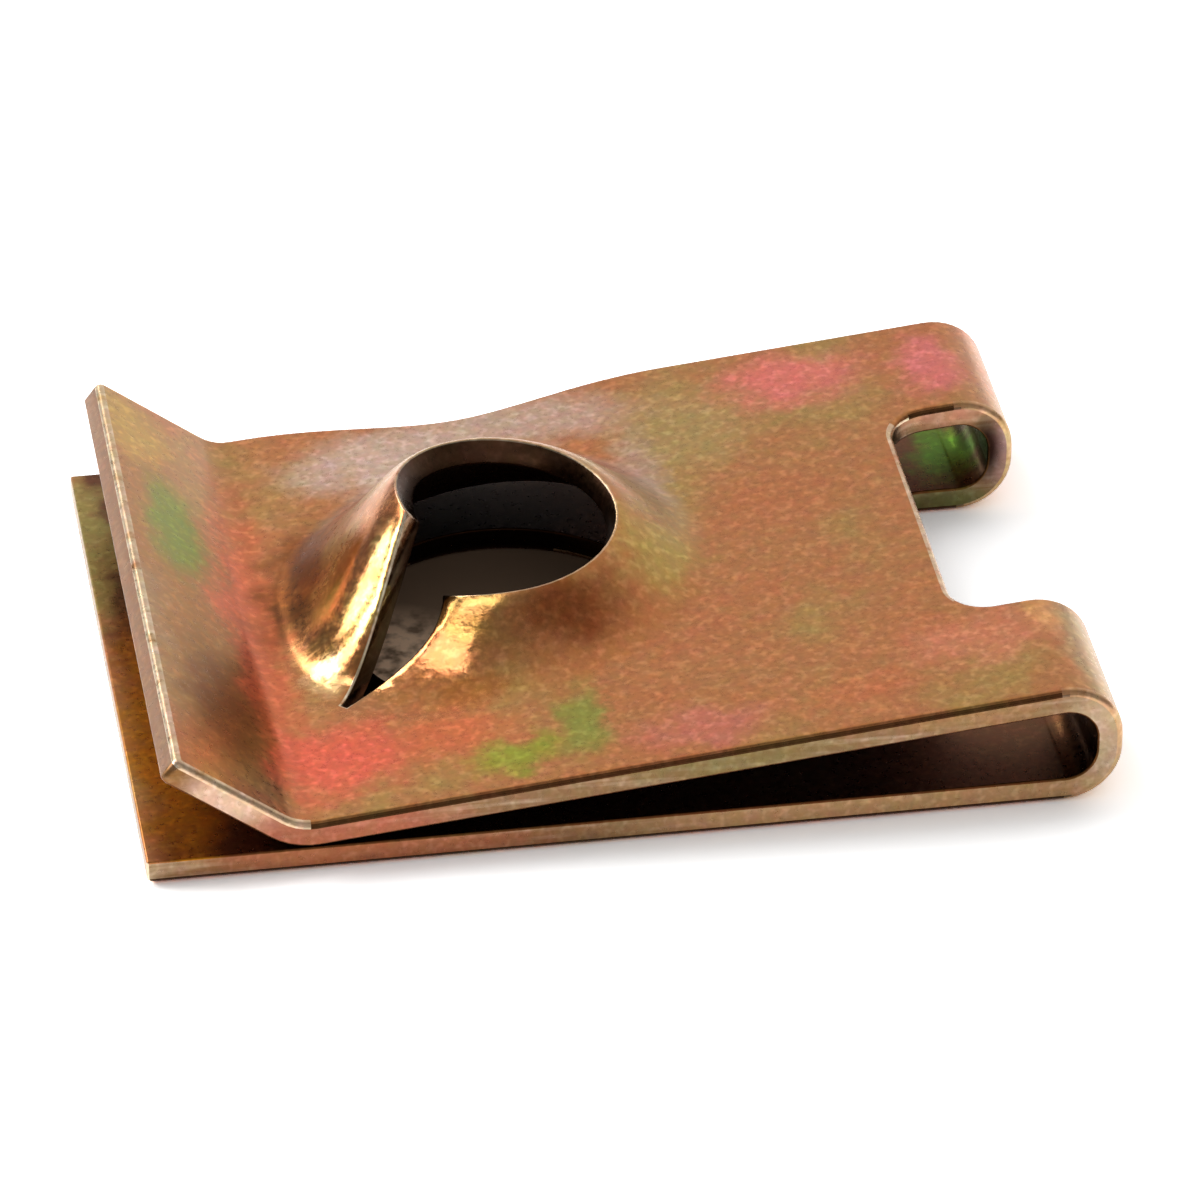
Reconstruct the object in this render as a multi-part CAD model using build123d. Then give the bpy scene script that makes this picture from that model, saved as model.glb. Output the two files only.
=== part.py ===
from build123d import *
import os
from math import asin, atan2, cos, degrees, hypot, pi, radians, sin, tan

os.makedirs("parts", exist_ok=True)

# U-shaped spring clip nut, folded from one strip of spring steel.
# The screw axis is the Z axis, and the clip rests on its lower leg at Z = 0.
# X runs from the open mouth (minus) to the U bend (plus). All sizes are in millimetres.

# Strip
sheet_thickness = 0.60
clip_width = 16.0
mouth_reach = 9.19  # screw axis to the front edge of the lower leg
bend_reach = 12.49  # screw axis to the outermost face of the U bend
axis_offset = 0.40  # the screw axis stands this far off the middle of the width
bend_height = 2.92  # outer height of the U bend
bend_radius = 1.30  # outer radius of each of its two corners

# Lead-in lip at the free end of the upper leg
lip_fold_reach = 5.52  # screw axis to the centre of the fold
lip_fold_radius = 1.00  # on the upper, concave side
lip_length = 2.92
lip_angle = 36.9  # above the horizontal
lip_corner_radius = 0.20
leg_gap = 0.03  # between the legs where the fold comes closest to the lower leg

# Notch cut through the U bend
notch_width = 8.30
notch_depth = 3.04
notch_corner_radius = 0.90

# Raised one-turn thread impression in the upper leg
hole_radius = 2.49  # upper edge of its rim
thread_pitch = 1.80
rim_height = 1.38  # upper edge of the rim over the leg at the bend side of the screw
near_rim_steepness = 1.20  # slope at the rim over the mean slope of the flank, on the near side
far_rim_steepness = 0.30
low_end_angle = -134.0  # the rim climbs anticlockwise from this end
high_end_angle = 198.0
end_share = 0.13  # share of the turn over which each end is shaped further, as below
low_end_bow = 0.40  # the slit's low edge bows back this far, nearer the rim than the foot
low_end_dip = 0.20  # and is pressed down this far at the rim
high_end_bow = 0.06  # the slit's high edge bows out over the slit
high_end_roll = 0.22  # and rolls down
slit_angle = 224.0  # direction of the slit's closed end
slit_reach = 5.95
slit_end_width = 0.16
near_reach = 4.70  # reach of the raised foot on each side of the screw
bend_side_reach = 4.70
far_reach = 5.20
foot_land = 0.04  # flat left between the raised foot and what it stops at
edge_draw = 0.74  # the far edge of the leg is drawn in this much beside the impression

# Clearance hole for the screw in the lower leg
clearance_radius = 3.75

# Number of radial sections through the raised flank, and of steps down each of them
turn_sections = 36
flank_steps = 8

near_side = -clip_width / 2 - axis_offset
far_side = clip_width / 2 - axis_offset
bend_centre_x = bend_reach - bend_radius
bend_centre_z = bend_height - bend_radius
fold_centre_x = -lip_fold_reach
fold_centre_z = 2 * sheet_thickness + leg_gap + lip_fold_radius

# The upper face of the leg is tangent to the fold from below and to the bend from above
centre_rise = atan2(bend_centre_z - fold_centre_z, bend_centre_x - fold_centre_x)
centre_span = hypot(bend_centre_x - fold_centre_x, bend_centre_z - fold_centre_z)
leg_angle = degrees(centre_rise + asin((bend_radius + lip_fold_radius) / centre_span))
leg_slope = tan(radians(leg_angle))
leg_normal = Vector(-sin(radians(leg_angle)), 0, cos(radians(leg_angle)))

# The formed stretch of the upper leg, from just behind the fold to just past the impression
formed_start = fold_centre_x + (lip_fold_radius + sheet_thickness) * sin(radians(leg_angle)) + foot_land
formed_end = bend_side_reach + 2 * foot_land
mouth_side_reach = -formed_start - foot_land


def leg_top(x):
    """Height of the flat upper leg's upper face."""
    on_fold = fold_centre_z - lip_fold_radius / cos(radians(leg_angle))
    return on_fold + leg_slope * (x - fold_centre_x)


def around(centre_x, centre_z, radius, angle):
    """Point of a circle in the section, with the angle in degrees from plus X."""
    return (centre_x + radius * cos(radians(angle)), centre_z + radius * sin(radians(angle)))


def strip_side(inset):
    """One face of the folded strip, seen from the near side, from the mouth round to the lip."""
    outer = bend_radius - inset
    fold = lip_fold_radius + inset
    heel = around(bend_centre_x, bend_centre_z, outer, 90 + leg_angle)
    fold_start = around(fold_centre_x, fold_centre_z, fold, leg_angle - 90)
    fold_end = around(fold_centre_x, fold_centre_z, fold, -90 - lip_angle)
    tip = around(fold_end[0], fold_end[1], lip_length, 180 - lip_angle)
    return [
        Line((-mouth_reach, inset), (bend_centre_x, inset)),
        CenterArc((bend_centre_x, bend_radius), outer, -90, 90),
        Line((bend_reach - inset, bend_radius), (bend_reach - inset, bend_centre_z)),
        CenterArc((bend_centre_x, bend_centre_z), outer, 0, 90 + leg_angle),
        Line(heel, fold_start),
        CenterArc((fold_centre_x, fold_centre_z), fold, leg_angle - 90, -leg_angle - lip_angle),
        Line(fold_end, tip),
    ]


def folded_strip():
    """The plain strip, with the formed stretch of its upper leg left open."""
    outside = strip_side(0)
    inside = strip_side(sheet_thickness)
    mouth_end = Line(outside[0] @ 0, inside[0] @ 0)
    lip_end = Line(outside[-1] @ 1, inside[-1] @ 1)
    section = make_face(Wire(outside + [lip_end] + inside + [mouth_end]))
    window = Polyline(
        (formed_start, sheet_thickness + leg_gap / 2),
        (formed_end, sheet_thickness + leg_gap / 2),
        (formed_end, 2 * bend_height),
        (formed_start, 2 * bend_height),
        close=True,
    )
    section = section - make_face(window)
    return Pos(0, -axis_offset, 0) * extrude(Plane.XZ * section, amount=clip_width / 2, both=True)


def foot_reach(angle):
    """Reach of the raised foot from the screw axis, eased from one named reach to the next."""
    slit_turn = slit_angle % 360
    near_turn = (slit_turn + 360) / 2
    stations = [
        (0, bend_side_reach),
        (90, far_reach),
        (180, mouth_side_reach),
        (slit_turn, slit_reach),
        (near_turn, near_reach),
        (360, bend_side_reach),
    ]
    turn = angle % 360
    for (start, first), (end, last) in zip(stations, stations[1:]):
        if turn <= end:
            reach = first + (last - first) * (1 - cos(pi * (turn - start) / (end - start))) / 2
            return min(reach, reach_before_fold(turn))
    return bend_side_reach


def reach_before_fold(turn):
    """Reach from the screw axis to the line that the raised foot keeps to, just behind the fold."""
    towards_mouth = -cos(radians(turn))
    return mouth_side_reach / towards_mouth if towards_mouth > 0 else far_reach + slit_reach


def rim_top(angle):
    """Height of the rim's upper edge, which climbs one pitch in a full turn."""
    return leg_top(hole_radius) + rim_height + thread_pitch * angle / 360


def flank_share(t, angle):
    """Share of the rim's rise that is left at t, from 0 at the rim to 1 at the foot."""
    far_share = (1 + sin(radians(angle))) / 2
    steepness = near_rim_steepness + (far_rim_steepness - near_rim_steepness) * far_share
    return 2 * t**3 - 3 * t**2 + 1 - steepness * (t**3 - 2 * t**2 + t)


def end_fade(turn_share):
    """Share of an end's own shape that is left at a share of the turn away from the slit."""
    return max(0, 1 - turn_share / end_share) ** 2


def flank_top(v, t):
    """Upper face of the flank: v runs round from the low slit edge to the high one."""
    rim_angle = low_end_angle + (high_end_angle - low_end_angle) * v
    half_gap = degrees(slit_end_width / slit_reach) / 2
    foot_start = slit_angle - 360 + half_gap
    foot_angle = foot_start + (360 - 2 * half_gap) * v
    rim = Vector(hole_radius, 0).rotate(Axis.Z, rim_angle)
    foot = Vector(foot_reach(foot_angle), 0).rotate(Axis.Z, foot_angle)
    low, high = end_fade(v), end_fade(1 - v)
    onward = Vector(0, 1).rotate(Axis.Z, rim_angle)
    bow = (low_end_bow * low + high_end_bow * high) * 27 / 4 * t * (1 - t) ** 2
    plan = rim + (foot - rim) * t + onward * bow
    rise = (rim_top(rim_angle) - leg_top(rim.X)) * flank_share(t, rim_angle)
    drop = (low_end_dip * low + high_end_roll * high) * (1 - t**2)
    return Vector(plan.X, plan.Y, leg_top(plan.X) + rise - drop)


def flank_under(v, t):
    """Lower face of the flank, one sheet thickness below the upper face along its normal."""
    step = 1e-4
    normal = leg_normal
    if t < 1:
        along = flank_top(v, t + step) - flank_top(v, t - step)
        round_ = flank_top(v + step, t) - flank_top(v - step, t)
        normal = along.cross(round_).normalized()
    return flank_top(v, t) - normal * sheet_thickness


def flank_face(point_at):
    """Smooth face lofted through the flank's radial sections, from the low slit edge to the high one."""
    sections = []
    for i in range(turn_sections + 1):
        section = [point_at(i / turn_sections, j / flank_steps) for j in range(flank_steps + 1)]
        sections.append(Wire([Edge.make_spline(section)]))
    return Shell.make_loft(sections).face()


def edge_at(face, point):
    """The edge of a face whose middle is nearest to a point."""
    return face.edges().sort_by(lambda edge: edge.distance_to(point))[0]


def formed_stretch():
    """The stretch of upper leg that carries the impression, closed by its own cut faces."""
    upper, lower = flank_face(flank_top), flank_face(flank_under)
    middles = [(0.5, 0), (0, 0.5), (1, 0.5), (0.5, 1)]
    upper_edges = [edge_at(upper, flank_top(*m)) for m in middles]
    lower_edges = [edge_at(lower, flank_under(*m)) for m in middles]
    walls = [Face.make_surface_from_curves(a, b) for a, b in zip(upper_edges[:3], lower_edges[:3])]

    slit_end_top = Edge.make_line(flank_top(1, 1), flank_top(0, 1))
    slit_end_under = Edge.make_line(flank_under(1, 1), flank_under(0, 1))
    walls.append(Face.make_surface_from_curves(slit_end_top, slit_end_under))

    top_outline = stretch_outline(0)
    under_outline = stretch_outline(sheet_thickness / cos(radians(leg_angle)))
    walls += [Face.make_surface_from_curves(a, b) for a, b in zip(top_outline, under_outline)]
    plates = [
        Face(Wire(top_outline), [Wire([upper_edges[3], slit_end_top])]),
        Face(Wire(under_outline), [Wire([lower_edges[3], slit_end_under])]),
    ]
    return Solid(Shell([upper, lower] + plates + walls))


def stretch_outline(drop):
    """Outline of the formed stretch on the leg's upper face, or a drop below it."""
    def on_leg(x, y):
        return Vector(x, y, leg_top(x) - drop)

    along = Vector(1, 0, leg_slope)
    start = on_leg(formed_start, far_side)
    middle = on_leg((formed_start + formed_end) / 2, far_side - edge_draw)
    end = on_leg(formed_end, far_side)
    drawn_edge = Edge.make_spline([start, middle, end], tangents=[along, along])
    return [
        Edge.make_line(on_leg(formed_start, near_side), on_leg(formed_end, near_side)),
        Edge.make_line(on_leg(formed_end, near_side), on_leg(formed_end, far_side)),
        drawn_edge,
        Edge.make_line(on_leg(formed_start, far_side), on_leg(formed_start, near_side)),
    ]


def notch():
    """Cutter for the window through the U bend, with rounded inner corners."""
    overrun = bend_height
    from_inner_end = (Align.MIN, Align.CENTER, Align.CENTER)
    block = Box(notch_depth + overrun, notch_width, 3 * bend_height, align=from_inner_end)
    block = Pos(bend_reach - notch_depth, -axis_offset, bend_height / 2) * block
    inner_corners = block.edges().filter_by(Axis.Z).group_by(Axis.X)[0]
    return fillet(inner_corners, notch_corner_radius)


def rounded_lip(clip):
    """The lip's two free corners are rounded off."""
    tips = clip.edges().filter_by(lambda edge: edge.center().X < fold_centre_x - lip_length / 2)
    tips = tips.filter_by(lambda edge: abs(edge.length - sheet_thickness) < 1e-3)
    tips = tips.filter_by(lambda edge: edge.center().Z > fold_centre_z)
    return fillet(tips, lip_corner_radius)


strip = folded_strip() - Cylinder(clearance_radius, 4 * sheet_thickness)
clip = (strip + formed_stretch()).clean()
clip = rounded_lip(clip - notch())
export_step(clip, "parts/spring_clip.step")
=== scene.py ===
import math

import bmesh
import bpy
from mathutils import Matrix, Vector
from mathutils.bvhtree import BVHTree


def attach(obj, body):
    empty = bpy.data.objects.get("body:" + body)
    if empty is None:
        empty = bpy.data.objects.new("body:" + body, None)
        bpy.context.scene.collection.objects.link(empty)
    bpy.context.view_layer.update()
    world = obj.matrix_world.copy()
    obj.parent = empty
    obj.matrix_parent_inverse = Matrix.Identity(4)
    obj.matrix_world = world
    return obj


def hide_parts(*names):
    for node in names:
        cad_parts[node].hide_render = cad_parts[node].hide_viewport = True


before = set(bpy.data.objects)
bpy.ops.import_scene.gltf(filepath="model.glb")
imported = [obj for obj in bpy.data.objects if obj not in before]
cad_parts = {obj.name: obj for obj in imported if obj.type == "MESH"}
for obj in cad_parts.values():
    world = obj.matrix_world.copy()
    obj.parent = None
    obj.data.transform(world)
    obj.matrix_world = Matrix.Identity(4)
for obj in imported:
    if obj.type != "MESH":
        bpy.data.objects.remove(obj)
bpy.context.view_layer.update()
scene = bpy.context.scene
mm = 0.001  # the scene is in metres, and the sizes below are in millimetres


def linearColour(hexColour):
    # sRGB hex, as a colour picker shows it, to the linear values that the shaders take
    channels = [int(hexColour[i:i + 2], 16) / 255 for i in (1, 3, 5)]
    return [c / 12.92 if c <= 0.04045 else ((c + 0.055) / 1.055) ** 2.4 for c in channels] + [1.0]


def addNode(tree, kind, settings=None, links=None):
    # settings are the node's own options or its sockets' values, and links feed its sockets
    node = tree.nodes.new(kind)
    for name, value in (settings or {}).items():
        if isinstance(name, str) and hasattr(node, name):
            setattr(node, name, value)
        else:
            node.inputs[name].default_value = value
    for name, output in (links or {}).items():
        tree.links.new(output, node.inputs[name])
    return node


# The clip: spring steel strip, folded, with one thread turn drawn up out of the upper leg
clip = {
    "node": "spring_clip",
    "body": "root",
    "slot": "spring_clip",
    "marks": ["sheared", "piercedRimShade", "outside", "inner", "shadeLine", "wornAndGlint"],  # what each face is, from 0 to 1
    "mergeDistance": 0.0002,
    "levelAngle": 0.05,  # degrees between faces, below which they are one flat
    "sharpAngle": 28,  # degrees between faces, above which an edge is a sheared one
    "probeStart": 0.002,  # how far inside a face the metal behind it is measured from
    "shearedDepth": 0.81,  # a sheared face has more metal behind it than this, a broad face the sheet's 0.6
    "standingHeight": 0.01,  # the strip's outer skin is the broad face that reaches down to here
    "downwards": 0.99,  # and has a face that looks straight down
    "sideways": 0.9,  # the cuts on the strip's two sides look across it by this share at least
    "rim": (2.56, 1.9),  # the pierced rim's cut lies within this radius of the screw, above this height
    "impression": (6.3, 1.3),  # and all of the raised thread within these
    # the shears draw the outer edges down, and a dark line of painted shade is laid along them where the cut
    # begins
    "dieRoll": 0.15,
    "dieRollSteps": 4,
    "shadeLineFades": (0.9, 0.3),  # the line gets fainter away from the cut
    "shadeLineEnd": 11.8,  # along the bend it fades out over 1 mm up to here, and the edge is painted pale instead, partly as wear and partly as a painted glint
    "lipStart": -5.6,  # the lip's edges lie short of this along the clip
    "notch": (9.0, -4.2, 3.4),  # the notch's edge lies past this along the clip, between these across it
    "wornAndGlintLip": 0.6,  # how pale the drawn edges are painted, partly as wear and partly as a painted glint, at the lip, round the bend and in the notch
    "wornAndGlintBend": 0.3,
    "wornAndGlintNotch": 0.6,
    # the other edges are only tumbled
    "edgeRound": 0.05,
    "edgeSteps": 3,
    "rimWearAndGlint": 0.35,  # the pierced rim's edge is painted less pale than the rest
    "bendStart": 9.6,  # past this along the clip the tumbled edges aren't painted pale
    "flatWeight": 80,  # keeps the flats evenly shaded up to their rounded edges
}


def smoothPatches(body, sharp):
    # the faces that a sharp edge doesn't part, patch by patch
    left = set(body.faces)
    patches = []
    while left:
        patch = []
        reached = [left.pop()]
        while reached:
            face = reached.pop()
            patch.append(face)
            for edge in face.edges:
                for other in edge.link_faces:
                    if other in left and edge.calc_face_angle(0.0) < sharp:
                        left.discard(other)
                        reached.append(other)
        patches.append(patch)
    return patches


def within(points, limits):
    # whether all the points are as near to the screw's axis, and as high, as the limits say
    radius, height = [v * mm for v in limits]
    return all(point.xy.length < radius and point.z > height for point in points)


def markPatches(body, layers, sharp):
    # a patch is a sheared one where the metal behind its faces is deeper than the sheet is thick
    tree = BVHTree.FromBMesh(body)
    for patch in smoothPatches(body, sharp):
        points = [vert.co for face in patch for vert in face.verts]
        area = sum(face.calc_area() for face in patch)
        deep = 0.0
        for face in patch:
            start = face.calc_center_median() - face.normal * clip["probeStart"] * mm
            depth = tree.ray_cast(start, -face.normal)[3] or 0.0
            deep += face.calc_area() if depth > clip["shearedDepth"] * mm else 0.0
        isPierced = within(points, clip["rim"])
        isSheared = isPierced or deep > area / 2
        facesDown = min(face.normal.z for face in patch) < -clip["downwards"]
        isLow = min(point.z for point in points) < clip["standingHeight"] * mm
        isOutside = not isSheared and facesDown and isLow
        for face in patch:
            face[layers["sheared"]] = float(isSheared)
            face[layers["piercedRimShade"]] = float(isPierced)
            face[layers["outside"]] = float(isOutside)
            face[layers["inner"]] = float(not isSheared and not isOutside)


def sharpEdges(body, sharp):
    return [edge for edge in body.edges if edge.is_manifold and edge.calc_face_angle() > sharp]


def roundEdges(body, edges, radius, steps):
    rounded = bmesh.ops.bevel(
        body,
        geom=edges,
        offset=radius * mm,
        offset_type="OFFSET",
        segments=steps,
        profile=0.5,
        affect="EDGES",
        material=-1,
        clamp_overlap=False,
    )
    return rounded["faces"]


def beside(faces, others):
    return {other for face in faces for edge in face.edges for other in edge.link_faces if other in others}


def drawEdgesDown(body, layers, sharp):
    # the sides get the dark line of painted shade, and the drawn edges at the lip, the bend and the ends are
    # painted pale, partly as wear and partly as a painted glint
    outer = []
    for edge in sharpEdges(body, sharp):
        isOuter = any(face[layers["outside"]] > 0.5 for face in edge.link_faces)
        if isOuter and not within([vert.co for vert in edge.verts], clip["impression"]):
            outer.append(edge)
    drawn = set(roundEdges(body, outer, clip["dieRoll"], clip["dieRollSteps"]))
    sheared = {face for face in body.faces if face not in drawn and face[layers["sheared"]] > 0.5}
    notchStart, notchNear, notchFar = clip["notch"]
    for face in drawn:
        cuts = beside([face], sheared)
        onSide = any(abs(cut.normal.y) > clip["sideways"] for cut in cuts)
        along, across = face.calc_center_median().xy / mm
        if along < clip["lipStart"]:
            line = 0.0
            wornAndGlintShare = clip["wornAndGlintLip"]
        else:
            line = min(max(clip["shadeLineEnd"] - along, 0.0), 1.0)
            wornAndGlintShare = clip["wornAndGlintBend"] * (1 - line)
        if along > notchStart and notchNear < across < notchFar:
            wornAndGlintShare = clip["wornAndGlintNotch"]
        face[layers["sheared"]] = 0.0
        face[layers["shadeLine"]] = line if onSide else 0.0
        face[layers["wornAndGlint"]] = 1.0 if cuts and not onSide else wornAndGlintShare
    for share in clip["shadeLineFades"]:
        for face in [face for face in drawn if face[layers["shadeLine"]] > share]:
            for other in beside([face], drawn):
                other[layers["shadeLine"]] = max(other[layers["shadeLine"]], share * face[layers["shadeLine"]])


def tumbleEdges(body, layers, sharp):
    # these are painted pale, partly as worn plate and partly as a painted glint, but not between the legs,
    # where they take the painted shade instead
    tumbled = set(roundEdges(body, sharpEdges(body, sharp), clip["edgeRound"], clip["edgeSteps"]))
    shadedBetweenLegs = {face for face in body.faces if face not in tumbled and face[layers["inner"]] > 0.5}
    for step in range(clip["edgeSteps"]):
        shadedBetweenLegs |= beside(shadedBetweenLegs, tumbled)
    for face in tumbled:
        face[layers["wornAndGlint"]] = float(face not in shadedBetweenLegs)
        if face in shadedBetweenLegs:
            face[layers["inner"]] = 1.0
            face[layers["sheared"]] = 0.0
        elif within([vert.co for vert in face.verts], clip["rim"]):
            face[layers["wornAndGlint"]] = clip["rimWearAndGlint"]
        if face.calc_center_median().x > clip["bendStart"] * mm:
            face[layers["wornAndGlint"]] = 0.0


def buildClip():
    body = bmesh.new()
    body.from_mesh(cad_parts[clip["node"]].data)
    bmesh.ops.remove_doubles(body, verts=body.verts, dist=clip["mergeDistance"] * mm)
    layers = {mark: body.faces.layers.float.new(mark) for mark in clip["marks"]}
    sharp = math.radians(clip["sharpAngle"])
    markPatches(body, layers, sharp)
    level = math.radians(clip["levelAngle"])
    bmesh.ops.dissolve_limit(body, angle_limit=level, verts=body.verts, edges=body.edges)
    drawEdgesDown(body, layers, sharp)
    tumbleEdges(body, layers, sharp)
    for face in body.faces:
        face.smooth = True

    mesh = bpy.data.meshes.new("springClip")
    body.to_mesh(mesh)
    body.free()
    piece = bpy.data.objects.new("springClip", mesh)
    scene.collection.objects.link(piece)
    flat = piece.modifiers.new("flatFaces", "WEIGHTED_NORMAL")
    flat.weight = clip["flatWeight"]
    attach(piece, clip["body"])
    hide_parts(clip["node"])
    return piece


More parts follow.
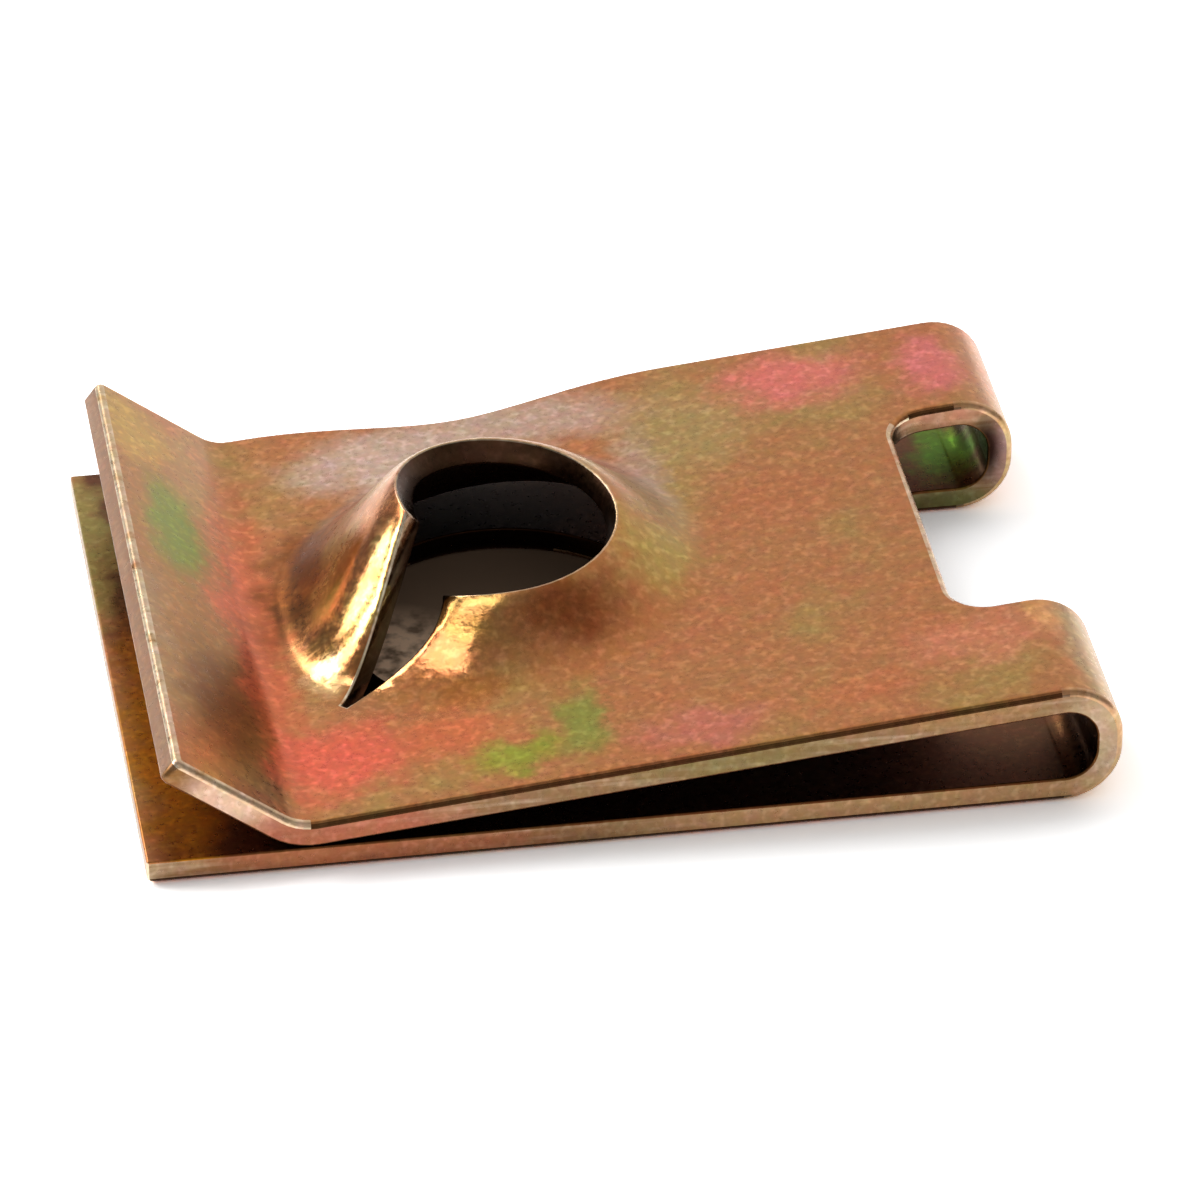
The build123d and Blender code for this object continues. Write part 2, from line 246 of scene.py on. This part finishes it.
# Yellow zinc plate on spring steel: a bright plate under a chromate film so thin that it shows
# rainbow stains. It gives a satin copper and gold sheen with pink and green patches.
zincPlate = {
    "copper": "#AA7044",
    "khaki": "#A27C46",
    "rose": "#AE6C42",
    "sheared": "#785B3F",
    # painted shade: the pierced rim's wall is painted dark, as the shade inside the hole
    "piercedRimShade": "#4A3222",
    # painted shade: the dark brown that the film is painted between the legs and under the raised thread
    "legShade": "#45240F",
    "legShadeStart": (-9.2, -8.6),  # between the legs the painted shade begins here, just inside the mouth
    # painted shade: the dark line along the side edges
    "shadeLine": "#1C0F06",
    # pale edges, partly wear and partly a painted glint
    "wornAndGlint": "#D8C4A6",
    "speck": (1.45, 1.55, 1.75, 1),  # how much paler the crystals make the film's red, green and blue
    "legShadeShare": 0.85,
    "streakShare": 0.3,
    "edgeMarkShare": 0.92,
    "flickerShare": 0.16,
    "speckShare": 0.65,
    "gaps": {"shadeLine": 0.0, "wornAndGlint": 0.28},  # both break where the patchy noise is under this
    "driftTurns": (0.36, 0.50, 0.66),  # where in the drift's noise khaki, copper and rose lie
    "grainShade": (0.88, 1.10),  # what the grain's lows and highs do to the colour
    "roughness": (0.26, 0.36),  # and how rough they are
    # what each pattern measures in mm
    "driftSize": 3.0,  # the film's slow drift between its three colours
    "cloudSize": 1.2,  # clouds push the stains' outlines about, by a quarter of cloudPush or so
    "cloudPush": 2.0,
    "patchSize": 0.6,  # the painted shade line, the pale edges of wear and painted glint, and the punched metal are uneven over this
    "streakSize": (2.0, 2.0, 0.15),  # the shears' streaks lie along the cut
    "flickerSize": 0.35,  # the film's hue flickers
    "speckSize": 0.2,  # the plate's crystals, drawn coarse enough to show
    "grainSize": 0.15,  # and so is its grain, which the satin comes from
    "grainDepth": 0.01,
    "grainStrength": 0.16,
    "burnishMiddle": (-2.6, -2.4, 2.4),  # the forming punch rubs the metal bright beside the slit
    "burnishReach": (3.2, 1.9),  # from this far round that place, fully from here
    "burnish": 0.17,  # what it takes off the roughness there
    "lumpHeight": 4.0,  # how high it leaves the metal lumpy, against the grain
    # where a stain or a patch of painted light or shade lies in mm, how far it reaches, its turn in degrees,
    # its colour and strength
    # it is full out to 0.3 of its reach
    "spotCore": 0.3,
    "stainsAndPaintedLight": [
        # the lip and its fold, where the pink band is partly the film and partly a painted reflection in the
        # bend, then along the near edge
        {"at": (-7.60, 0.0, 2.8), "reach": (2.20, 9.5, 2.6), "colour": "#946424", "strength": 0.75},
        {"at": (-5.90, -1.5, 1.4), "reach": (0.95, 8.5, 1.5), "colour": "#CA6640", "strength": 0.85},
        {"at": (-4.70, -6.2, 1.4), "reach": (2.10, 1.9, 1.5), "colour": "#D66048", "strength": 0.95},
        {"at": (-2.20, -5.9, 1.8), "reach": (2.10, 1.8, 1.5), "colour": "#CC6842", "strength": 0.80},
        {"at": (-0.7, -7.2, 1.8), "reach": (1.7, 0.9, 1.5), "turn": 8, "colour": "#8A902E", "strength": 0.85},
        {"at": (0.80, -6.4, 2.0), "reach": (0.90, 2.1, 1.5), "colour": "#80883A", "strength": 0.80},
        {"at": (3.20, -7.3, 2.2), "reach": (2.2, 1.0, 1.5), "turn": 6, "colour": "#BE6C5A", "strength": 0.70},
        {"at": (6.80, -7.0, 2.5), "reach": (2.2, 1.0, 1.5), "turn": 6, "colour": "#BC6A44", "strength": 0.60},
        # the far side by the bend, and the middle
        {"at": (7.60, 6.0, 2.6), "reach": (2.40, 1.7, 1.5), "colour": "#D87066", "strength": 0.80},
        {"at": (10.8, 5.7, 2.8), "reach": (1.30, 1.7, 1.5), "colour": "#D4706C", "strength": 0.80},
        {"at": (4.80, 4.9, 2.4), "reach": (2.40, 2.6, 1.5), "colour": "#A68854", "strength": 0.75},
        {"at": (3.20, -0.9, 2.6), "reach": (1.50, 1.8, 1.8), "colour": "#A48C4A", "strength": 0.75},
        # pale, behind the raised thread
        {"at": (-1.9, 5.6, 1.7), "reach": (3.60, 1.9, 2.0), "colour": "#C2A896", "strength": 0.80},
        {"at": (1.20, 6.2, 2.0), "reach": (3.6, 1.5, 1.5), "turn": -8, "colour": "#BC9C88", "strength": 0.80},
        {"at": (3.60, 3.2, 2.2), "reach": (1.00, 2.6, 1.5), "colour": "#B0927C", "strength": 0.60},
        # painted shade, dark round the raised thread's foot
        {"at": (1.0, -2.9, 2.7), "reach": (1.8, 1.2, 1.4), "turn": 12, "colour": "#7E3E1C", "strength": 0.76},
        {
            "at": (-4.8, 0.8, 1.5),
            "reach": (1.1, 3.8, 1.4),
            "turn": -16,
            "colour": "#743C0C",
            "strength": 0.88,
        },
        {"at": (-5.1, -0.6, 1.2), "reach": (0.60, 1.2, 0.8), "colour": "#4A2806", "strength": 0.75},
        {"at": (-1.6, -4.5, 1.9), "reach": (1.60, 0.7, 1.0), "colour": "#A05C2C", "strength": 0.60},
        # the lip again, gold, green and dark
        {"at": (-7.8, 6.0, 2.9), "reach": (1.40, 1.9, 2.0), "colour": "#B2883A", "strength": 0.80},
        {"at": (-7.3, 2.3, 2.4), "reach": (0.95, 2.9, 1.4), "colour": "#727C1E", "strength": 0.88},
        {"at": (-8.4, -2.2, 3.4), "reach": (0.80, 4.2, 1.2), "colour": "#98744C", "strength": 0.70},
        {"at": (-6.9, -5.2, 2.4), "reach": (1.50, 3.8, 1.6), "colour": "#6E3E0A", "strength": 0.86},
        # the near side of the bend
        {"at": (9.60, -5.8, 2.8), "reach": (2.40, 1.5, 1.5), "colour": "#C67A58", "strength": 0.75},
        {"at": (11.2, -5.3, 2.9), "reach": (0.70, 0.8, 1.5), "colour": "#D89A60", "strength": 0.70},
        {"at": (12.0, -6.3, 2.5), "reach": (0.90, 2.6, 1.2), "colour": "#A4885C", "strength": 0.75},
        # bright gold beside the slit, partly where the punch rubbed the metal and partly a painted highlight
        # along the ridge and the near flank
        {"at": (-2.9, -1.2, 3.5), "reach": (0.80, 0.9, 1.0), "colour": "#CFB06E", "strength": 0.85},
        {"at": (-3.6, -2.1, 2.5), "reach": (0.85, 0.9, 1.0), "colour": "#CDAC66", "strength": 0.85},
        {"at": (-4.5, -2.9, 1.5), "reach": (0.75, 0.8, 0.9), "colour": "#C8A26E", "strength": 0.85},
        {"at": (-1.5, -2.9, 2.4), "reach": (0.75, 0.6, 0.8), "colour": "#B08044", "strength": 0.75},
    ],
    "innerStainsAndShade": [
        # the lower leg in the mouth, then painted shade under the thread
        {"at": (-9.1, 4.6, 0.6), "reach": (0.80, 5.0, 0.7), "colour": "#8A7A40", "strength": 0.90},
        {"at": (-8.2, -4.0, 0.6), "reach": (1.40, 7.0, 0.8), "colour": "#BC7814", "strength": 0.92},
        {"at": (0.60, 4.6, 0.6), "reach": (4.60, 3.4, 1.5), "colour": "#160D06", "strength": 0.90},
        # inside the bend's two arms: a green film patch, then painted shade
        {"at": (11.2, 5.4, 0.6), "reach": (1.10, 2.0, 0.9), "colour": "#4E7418", "strength": 0.92},
        {"at": (12.3, 5.4, 1.8), "reach": (1.10, 3.0, 1.4), "colour": "#160C06", "strength": 0.95},
        {"at": (12.4, -6.5, 1.6), "reach": (0.90, 3.4, 1.3), "colour": "#1E1008", "strength": 0.90},
    ],
    "shearedStainsAndPaintedLight": [
        # the lip's end, then the near cuts, where the lip's is paled partly as a painted highlight
        {"at": (-8.6, -0.4, 3.0), "reach": (1.20, 14.0, 1.6), "colour": "#744820", "strength": 0.90},
        {"at": (-7.2, -8.4, 2.0), "reach": (1.60, 1.0, 1.3), "colour": "#BE9E86", "strength": 0.88},
        {"at": (-5.0, -8.4, 1.0), "reach": (4.00, 2.0, 1.0), "colour": "#965440", "strength": 0.78},
        {"at": (3.60, -8.4, 2.0), "reach": (3.40, 2.0, 0.9), "colour": "#6C5C38", "strength": 0.75},
        {"at": (9.00, -8.4, 2.6), "reach": (2.40, 2.0, 0.7), "colour": "#84603E", "strength": 0.78},
        {"at": (12.4, -8.4, 1.6), "reach": (1.70, 2.0, 2.4), "colour": "#A48C70", "strength": 0.85},
        {"at": (-4.0, -8.4, 0.3), "reach": (5.50, 2.0, 0.8), "colour": "#9A5C3E", "strength": 0.80},
        {"at": (7.00, -8.4, 0.3), "reach": (8.00, 2.0, 0.8), "colour": "#B48C62", "strength": 0.85},
        # the notch's cut on the far arm, with painted shade along its inner edge
        {"at": (12.4, 3.7, 1.5), "reach": (0.90, 2.0, 1.4), "colour": "#927068", "strength": 0.92},
        {"at": (10.8, 3.7, 2.9), "reach": (1.60, 2.0, 0.8), "colour": "#B07A60", "strength": 0.90},
        {"at": (10.9, 3.7, 0.2), "reach": (1.90, 2.0, 0.7), "colour": "#5A5832", "strength": 0.90},
        {"at": (11.8, 3.7, 1.6), "reach": (0.60, 2.0, 1.2), "colour": "#1A0A04", "strength": 0.97},
        # the slit's cut, paled as a painted glint, and painted shade on the clearance hole's
        {"at": (-3.4, -2.0, 2.6), "reach": (1.80, 1.8, 1.8), "colour": "#C8BA92", "strength": 0.90},
        {"at": (0.00, 3.6, 0.4), "reach": (6.00, 2.4, 1.0), "colour": "#140B06", "strength": 0.95},
    ],
}


def addStainsAndPaintedLight(tree, colour, place, stainsAndPaintedLight):
    for spot in stainsAndPaintedLight:
        local = addNode(
            tree,
            "ShaderNodeMapping",
            {
                "vector_type": "TEXTURE",
                "Location": [v * mm for v in spot["at"]],
                "Rotation": (0, 0, math.radians(spot.get("turn", 0))),
                "Scale": [v * mm for v in spot["reach"]],
            },
            {"Vector": place},
        )
        distance = addNode(tree, "ShaderNodeVectorMath", {"operation": "LENGTH"}, {0: local.outputs[0]})
        share = addNode(
            tree,
            "ShaderNodeMapRange",
            {
                "interpolation_type": "SMOOTHSTEP",
                "From Min": 1.0,
                "From Max": zincPlate["spotCore"],
                "To Max": spot["strength"],
            },
            {"Value": distance.outputs["Value"]},
        )
        colour = addNode(
            tree,
            "ShaderNodeMixRGB",
            {"Color2": linearColour(spot["colour"])},
            {"Fac": share.outputs[0], "Color1": colour},
        ).outputs[0]
    return colour


def addStreaks(tree, place):
    stretched = addNode(
        tree,
        "ShaderNodeVectorMath",
        {"operation": "DIVIDE", 1: [v * mm for v in zincPlate["streakSize"]]},
        {0: place},
    )
    noise = addNode(
        tree,
        "ShaderNodeTexNoise",
        {"Scale": 1.0, "Detail": 2.0},
        {"Vector": stretched.outputs[0]},
    )
    streaks = addNode(
        tree,
        "ShaderNodeMapRange",
        {"From Min": 0.45, "From Max": 0.8, "To Max": zincPlate["streakShare"]},
        {"Value": noise.outputs["Fac"]},
    )
    return streaks.outputs[0]


def addFilm(tree, place, pushed):
    size = zincPlate["driftSize"] * mm
    drift = addNode(tree, "ShaderNodeTexNoise", {"Scale": 1 / size, "Detail": 3.0}, {"Vector": place})
    ramp = addNode(tree, "ShaderNodeValToRGB", {}, {0: drift.outputs["Fac"]})
    khakiAt, copperAt, roseAt = zincPlate["driftTurns"]
    ramp.color_ramp.elements[0].position = khakiAt
    ramp.color_ramp.elements[0].color = linearColour(zincPlate["khaki"])
    ramp.color_ramp.elements[1].position = roseAt
    ramp.color_ramp.elements[1].color = linearColour(zincPlate["rose"])
    ramp.color_ramp.elements.new(copperAt).color = linearColour(zincPlate["copper"])
    return addStainsAndPaintedLight(tree, ramp.outputs["Color"], pushed, zincPlate["stainsAndPaintedLight"])


def addLegShade(tree, colour, pushed):
    # between the legs and under the raised thread the film is painted dark brown, as painted shade
    along = addNode(tree, "ShaderNodeSeparateXYZ", {}, {0: pushed})
    legShadeStart, legShadeFull = [v * mm for v in zincPlate["legShadeStart"]]
    legShade = addNode(
        tree,
        "ShaderNodeMapRange",
        {"From Min": legShadeStart, "From Max": legShadeFull, "To Max": zincPlate["legShadeShare"]},
        {"Value": along.outputs["X"]},
    )
    inLegShade = addNode(
        tree,
        "ShaderNodeMixRGB",
        {"Color2": linearColour(zincPlate["legShade"])},
        {"Fac": legShade.outputs[0], "Color1": colour},
    ).outputs[0]
    inLegShade = addStainsAndPaintedLight(tree, inLegShade, pushed, zincPlate["innerStainsAndShade"])
    inner = addNode(tree, "ShaderNodeAttribute", {"attribute_name": "inner"})
    return addNode(
        tree,
        "ShaderNodeMixRGB",
        {},
        {"Fac": inner.outputs["Fac"], "Color1": colour, "Color2": inLegShade},
    ).outputs[0]


def addCuts(tree, colour, place):
    # sheared faces are duller, and the pierced rim's wall is painted dark, as painted shade inside the hole
    dull = addNode(
        tree,
        "ShaderNodeMixRGB",
        {"Color1": linearColour(zincPlate["sheared"]), "Color2": linearColour(zincPlate["wornAndGlint"])},
        {"Fac": addStreaks(tree, place)},
    ).outputs[0]
    dull = addStainsAndPaintedLight(tree, dull, place, zincPlate["shearedStainsAndPaintedLight"])
    sheared = addNode(tree, "ShaderNodeAttribute", {"attribute_name": "sheared"})
    colour = addNode(
        tree,
        "ShaderNodeMixRGB",
        {},
        {"Fac": sheared.outputs["Fac"], "Color1": colour, "Color2": dull},
    ).outputs[0]
    piercedRimShade = addNode(tree, "ShaderNodeAttribute", {"attribute_name": "piercedRimShade"})
    return addNode(
        tree,
        "ShaderNodeMixRGB",
        {"Color2": linearColour(zincPlate["piercedRimShade"])},
        {"Fac": piercedRimShade.outputs["Fac"], "Color1": colour},
    ).outputs[0]


def addEdgeShadeWearAndGlint(tree, colour, patchy):
    # the dark line of painted shade where the cut begins, and the pale edges of wear and painted glint, both
    # of them broken up
    for mark, gaps in zincPlate["gaps"].items():
        edge = addNode(tree, "ShaderNodeAttribute", {"attribute_name": mark})
        broken = addNode(
            tree,
            "ShaderNodeMapRange",
            {"From Min": gaps, "From Max": gaps + 0.15, "To Max": zincPlate["edgeMarkShare"]},
            {"Value": patchy},
        )
        share = addNode(
            tree,
            "ShaderNodeMath",
            {"operation": "MULTIPLY"},
            {0: edge.outputs["Fac"], 1: broken.outputs[0]},
        )
        colour = addNode(
            tree,
            "ShaderNodeMixRGB",
            {"Color2": linearColour(zincPlate[mark])},
            {"Fac": share.outputs[0], "Color1": colour},
        ).outputs[0]
    return colour


def addCrystals(tree, colour, place):
    # the film's hue flickers, and the plate's crystals show through it as pale specks
    flicker = addNode(
        tree,
        "ShaderNodeTexNoise",
        {"Scale": 1 / (zincPlate["flickerSize"] * mm), "Detail": 2.0},
        {"Vector": place},
    )
    colour = addNode(
        tree,
        "ShaderNodeMixRGB",
        {"blend_type": "OVERLAY", "Fac": zincPlate["flickerShare"]},
        {"Color1": colour, "Color2": flicker.outputs["Color"]},
    ).outputs[0]
    specks = addNode(
        tree,
        "ShaderNodeTexNoise",
        {"Scale": 1 / (zincPlate["speckSize"] * mm), "Detail": 1.0},
        {"Vector": place},
    )
    share = addNode(
        tree,
        "ShaderNodeMapRange",
        {"From Min": 0.50, "From Max": 0.72, "To Max": zincPlate["speckShare"]},
        {"Value": specks.outputs["Fac"]},
    )
    return addNode(
        tree,
        "ShaderNodeMixRGB",
        {"blend_type": "MULTIPLY", "Color2": zincPlate["speck"]},
        {"Fac": share.outputs[0], "Color1": colour},
    ).outputs[0]


def addSatin(tree, colour, place, patchy):
    # the plate's grain shades the film and roughens it
    dark, pale = zincPlate["grainShade"]
    smooth, rough = zincPlate["roughness"]
    grain = addNode(
        tree,
        "ShaderNodeTexNoise",
        {"Scale": 1 / (zincPlate["grainSize"] * mm), "Detail": 2.0, "Roughness": 0.6},
        {"Vector": place},
    ).outputs["Fac"]
    shade = addNode(
        tree,
        "ShaderNodeMapRange",
        {"From Min": 0.3, "From Max": 0.7, "To Min": dark, "To Max": pale},
        {"Value": grain},
    )
    grained = addNode(
        tree,
        "ShaderNodeVectorMath",
        {"operation": "SCALE"},
        {0: colour, "Scale": shade.outputs[0]},
    )
    satin = addNode(
        tree,
        "ShaderNodeMapRange",
        {"From Min": 0.3, "From Max": 0.7, "To Min": smooth, "To Max": rough},
        {"Value": grain},
    )

    # beside the slit the punch left the metal burnished and lumpy
    fromSlit = addNode(
        tree,
        "ShaderNodeVectorMath",
        {"operation": "DISTANCE", 1: [v * mm for v in zincPlate["burnishMiddle"]]},
        {0: place},
    )
    punchedEnd, punchedFull = [v * mm for v in zincPlate["burnishReach"]]
    punched = addNode(
        tree,
        "ShaderNodeMapRange",
        {"interpolation_type": "SMOOTHSTEP", "From Min": punchedEnd, "From Max": punchedFull},
        {"Value": fromSlit.outputs["Value"]},
    ).outputs[0]
    satin = addNode(
        tree,
        "ShaderNodeMath",
        {"operation": "MULTIPLY_ADD", 1: -zincPlate["burnish"]},
        {0: punched, 2: satin.outputs[0]},
    )
    lumps = addNode(tree, "ShaderNodeMath", {"operation": "MULTIPLY"}, {0: punched, 1: patchy})
    height = addNode(
        tree,
        "ShaderNodeMath",
        {"operation": "MULTIPLY_ADD", 1: zincPlate["lumpHeight"]},
        {0: lumps.outputs[0], 2: grain},
    )
    bump = addNode(
        tree,
        "ShaderNodeBump",
        {"Strength": zincPlate["grainStrength"], "Distance": zincPlate["grainDepth"] * mm},
        {"Height": height.outputs[0]},
    )
    return addNode(
        tree,
        "ShaderNodeBsdfPrincipled",
        {"Metallic": 1.0},
        {"Base Color": grained.outputs[0], "Roughness": satin.outputs[0], "Normal": bump.outputs[0]},
    )


def zincPlateMaterial():
    material = bpy.data.materials.new("yellowZincPlatedSpringSteel")
    material.use_nodes = True
    tree = material.node_tree
    tree.nodes.clear()
    place = addNode(tree, "ShaderNodeTexCoord").outputs["Object"]
    clouds = addNode(
        tree,
        "ShaderNodeTexNoise",
        {"Scale": 1 / (zincPlate["cloudSize"] * mm), "Detail": 4.0, "Roughness": 0.6},
        {"Vector": place},
    )
    centred = addNode(
        tree,
        "ShaderNodeVectorMath",
        {"operation": "SUBTRACT", 1: (0.5, 0.5, 0.5)},
        {0: clouds.outputs["Color"]},
    )
    pushed = addNode(
        tree,
        "ShaderNodeVectorMath",
        {"operation": "MULTIPLY_ADD", 1: [zincPlate["cloudPush"] * mm] * 3},
        {0: centred.outputs[0], 2: place},
    ).outputs[0]
    patchy = addNode(
        tree,
        "ShaderNodeTexNoise",
        {"Scale": 1 / (zincPlate["patchSize"] * mm), "Detail": 3.0},
        {"Vector": place},
    ).outputs["Fac"]

    colour = addFilm(tree, place, pushed)
    colour = addLegShade(tree, colour, pushed)
    colour = addCuts(tree, colour, place)
    colour = addEdgeShadeWearAndGlint(tree, colour, patchy)
    colour = addCrystals(tree, colour, place)
    metal = addSatin(tree, colour, place, patchy)
    addNode(tree, "ShaderNodeOutputMaterial", {}, {"Surface": metal.outputs[0]})
    return material


# The studio: pale floor, a room that is bright at eye level, and the photograph's viewing angle
studio = {
    "floorSize": 3000,
    "floorDrop": 0.02,  # keeps the floor just clear of the clip's underside
    "floorSeen": 1.95,  # the paper as the camera and the metal see it, so that it clips to white
    "floorPaintedShade": "#8E7661",  # painted shade on the same paper where it lies in the clip's hole
    "shadeUnder": (4.2, 5.0),  # as far from the screw's axis as this, fading into the open paper up to here
    "floorPaintedSlitLight": "#FFDAB8",  # and painted light where the slit would let light in on it, in broken patches
    "slitLight": (-2.7, -0.1, 0),
    "slitReach": (2.1, 0.7),  # from this far round that place, fully from here
    "slitPatches": 0.5,
    "floorTrue": 0.75,  # the paper as it lights the clip from below
    "roomStrength": 0.32,
    # soft panels round the table: their direction, the angles to their full and faint rims, and strength
    "panels": [
        {"towards": (0.35, 0.68, 0.64), "full": 22, "faint": 62, "strength": 0.62},
        {"towards": (0.75, 0.62, 0.10), "full": 25, "faint": 55, "strength": 0.12},
        {"towards": (0.10, -0.80, 0.55), "full": 10, "faint": 38, "strength": 0.40},
    ],
    "lamps": [
        {
            "name": "leftStrip",
            "towards": (-0.662, 0.452, 0.598),
            "roll": -12,
            "size": (370, 46),
            "radiance": 10.5,
        },
        {
            "name": "leftWindow",
            "towards": (-0.879, 0.388, 0.275),
            "roll": 0,
            "size": (100, 90),
            "radiance": 6.0,
        },
        {
            "name": "topLeft",
            "towards": (-0.37, 0.33, 0.86),
            "roll": -12,
            "size": (45, 130),
            "radiance": 4.5,
        },
    ],
    "middle": (2.81, -0.4, 1.5),
    "lampDistance": 300,
    "viewAzimuth": -9.134,
    "viewElevation": 33.06,
    "viewDistance": 180.911,
    "viewShift": (0.72, 0.391),  # how far the middle lies from the picture's centre, across and up
    "lens": 239.04,
}


def whitePaperMaterial():
    # matt white paper, brighter where it is looked at, so that open floor is white and the
    # shadow under the clip stays
    material = bpy.data.materials.new("mattWhitePaper")
    material.use_nodes = True
    tree = material.node_tree
    tree.nodes.clear()
    ray = addNode(tree, "ShaderNodeLightPath")
    looked = addNode(
        tree,
        "ShaderNodeMath",
        {"operation": "MAXIMUM"},
        {0: ray.outputs["Is Camera Ray"], 1: ray.outputs["Is Glossy Ray"]},
    )
    looked = addNode(
        tree,
        "ShaderNodeMath",
        {"operation": "MAXIMUM"},
        {0: looked.outputs[0], 1: ray.outputs["Is Transmission Ray"]},
    )
    paper = addNode(tree, "ShaderNodeBsdfDiffuse", {"Color": [studio["floorTrue"]] * 3 + [1]})

    # under the clip's own hole the paper is painted in deep shade, with painted patches of light where the
    # slit would let light on it
    place = addNode(tree, "ShaderNodeTexCoord").outputs["Object"]
    fromScrew = addNode(tree, "ShaderNodeVectorMath", {"operation": "LENGTH"}, {0: place})
    shadeFull, shadeEnd = [v * mm for v in studio["shadeUnder"]]
    shade = addNode(
        tree,
        "ShaderNodeMapRange",
        {"From Min": shadeFull, "From Max": shadeEnd},
        {"Value": fromScrew.outputs["Value"]},
    )
    slitLight = [v * mm for v in studio["slitLight"]]
    fromSlit = addNode(tree, "ShaderNodeVectorMath", {"operation": "DISTANCE", 1: slitLight}, {0: place})
    slitEnd, slitFull = [v * mm for v in studio["slitReach"]]
    near = addNode(
        tree,
        "ShaderNodeMapRange",
        {"From Min": slitEnd, "From Max": slitFull},
        {"Value": fromSlit.outputs["Value"]},
    )
    patches = addNode(
        tree,
        "ShaderNodeTexNoise",
        {"Scale": 1 / (studio["slitPatches"] * mm), "Detail": 3.0},
        {"Vector": place},
    )
    broken = addNode(
        tree,
        "ShaderNodeMapRange",
        {"From Min": 0.36, "From Max": 0.56},
        {"Value": patches.outputs["Fac"]},
    )
    lit = addNode(
        tree,
        "ShaderNodeMath",
        {"operation": "MULTIPLY"},
        {0: near.outputs[0], 1: broken.outputs[0]},
    )
    paintedUnderHole = addNode(
        tree,
        "ShaderNodeMixRGB",
        {"Color1": linearColour(studio["floorPaintedShade"]), "Color2": linearColour(studio["floorPaintedSlitLight"])},
        {"Fac": lit.outputs[0]},
    )
    paperSeen = addNode(
        tree,
        "ShaderNodeMixRGB",
        {"Color2": [studio["floorSeen"]] * 3 + [1]},
        {"Fac": shade.outputs[0], "Color1": paintedUnderHole.outputs[0]},
    )
    seen = addNode(tree, "ShaderNodeBsdfDiffuse", {}, {"Color": paperSeen.outputs[0]})
    both = addNode(
        tree,
        "ShaderNodeMixShader",
        {},
        {0: looked.outputs[0], 1: paper.outputs[0], 2: seen.outputs[0]},
    )
    addNode(tree, "ShaderNodeOutputMaterial", {}, {"Surface": both.outputs[0]})
    return material


def buildFloor():
    sheet = bmesh.new()
    bmesh.ops.create_grid(sheet, x_segments=1, y_segments=1, size=studio["floorSize"] * mm / 2)
    bmesh.ops.translate(sheet, verts=sheet.verts, vec=(0, 0, -studio["floorDrop"] * mm))
    mesh = bpy.data.meshes.new("paleFloor")
    sheet.to_mesh(mesh)
    sheet.free()
    mesh.materials.append(whitePaperMaterial())
    floor = bpy.data.objects.new("paleFloor", mesh)
    scene.collection.objects.link(floor)


def buildWorld():
    world = bpy.data.worlds.new("softRoom")
    world.use_nodes = True
    tree = world.node_tree
    tree.nodes.clear()
    towards = addNode(tree, "ShaderNodeTexCoord").outputs["Generated"]
    shares = []
    for panel in studio["panels"]:
        middle = Vector(panel["towards"]).normalized()
        near = addNode(tree, "ShaderNodeVectorMath", {"operation": "DOT_PRODUCT", 1: middle}, {0: towards})
        share = addNode(
            tree,
            "ShaderNodeMapRange",
            {
                "interpolation_type": "SMOOTHSTEP",
                "From Min": math.cos(math.radians(panel["faint"])),
                "From Max": math.cos(math.radians(panel["full"])),
                "To Max": panel["strength"],
            },
            {"Value": near.outputs["Value"]},
        )
        shares.append(share.outputs[0])
    room = {"operation": "ADD", 1: studio["roomStrength"]}
    light = addNode(tree, "ShaderNodeMath", room, {0: shares[0]}).outputs[0]
    for share in shares[1:]:
        light = addNode(tree, "ShaderNodeMath", {"operation": "ADD"}, {0: light, 1: share}).outputs[0]
    background = addNode(tree, "ShaderNodeBackground", {"Color": (1, 1, 1, 1)}, {"Strength": light})
    addNode(tree, "ShaderNodeOutputWorld", {}, {"Surface": background.outputs[0]})
    scene.world = world


def buildLamps():
    middle = Vector(studio["middle"]) * mm
    for lamp in studio["lamps"]:
        wide, tall = [side * mm for side in lamp["size"]]
        light = bpy.data.lights.new(lamp["name"], "AREA")
        light.shape = "RECTANGLE"
        light.size = wide
        light.size_y = tall
        light.energy = lamp["radiance"] * math.pi * wide * tall
        piece = bpy.data.objects.new(lamp["name"], light)
        towards = Vector(lamp["towards"]).normalized()
        piece.location = middle + towards * studio["lampDistance"] * mm
        roll = Matrix.Rotation(math.radians(lamp["roll"]), 3, "Z")
        piece.rotation_euler = (towards.to_track_quat("Z", "Y").to_matrix() @ roll).to_euler()
        scene.collection.objects.link(piece)


def buildCamera():
    azimuth = math.radians(studio["viewAzimuth"])
    elevation = math.radians(studio["viewElevation"])
    right = Vector((math.cos(azimuth), math.sin(azimuth), 0))
    back = Vector((
        math.sin(azimuth) * math.cos(elevation),
        -math.cos(azimuth) * math.cos(elevation),
        math.sin(elevation),
    ))
    up = back.cross(right)
    across, above = studio["viewShift"]
    place = Vector(studio["middle"]) - right * across - up * above + back * studio["viewDistance"]
    turn = Matrix((right, up, back)).transposed().to_4x4()
    data = bpy.data.cameras.new("photoCamera")
    data.lens = studio["lens"]
    data.sensor_width = 36
    data.clip_start = 0.001
    data.clip_end = 10
    camera = bpy.data.objects.new("photoCamera", data)
    camera.matrix_world = Matrix.Translation(place * mm) @ turn
    scene.collection.objects.link(camera)
    scene.camera = camera


clipPiece = buildClip()
print("clip:", len(clipPiece.data.polygons), "faces")
clipPiece.data.materials.append(zincPlateMaterial())
print("finish: yellow zinc plate")

buildFloor()
buildWorld()
buildLamps()
buildCamera()
scene.view_settings.view_transform = "Standard"
print("studio: floor, lamps and camera are in place")
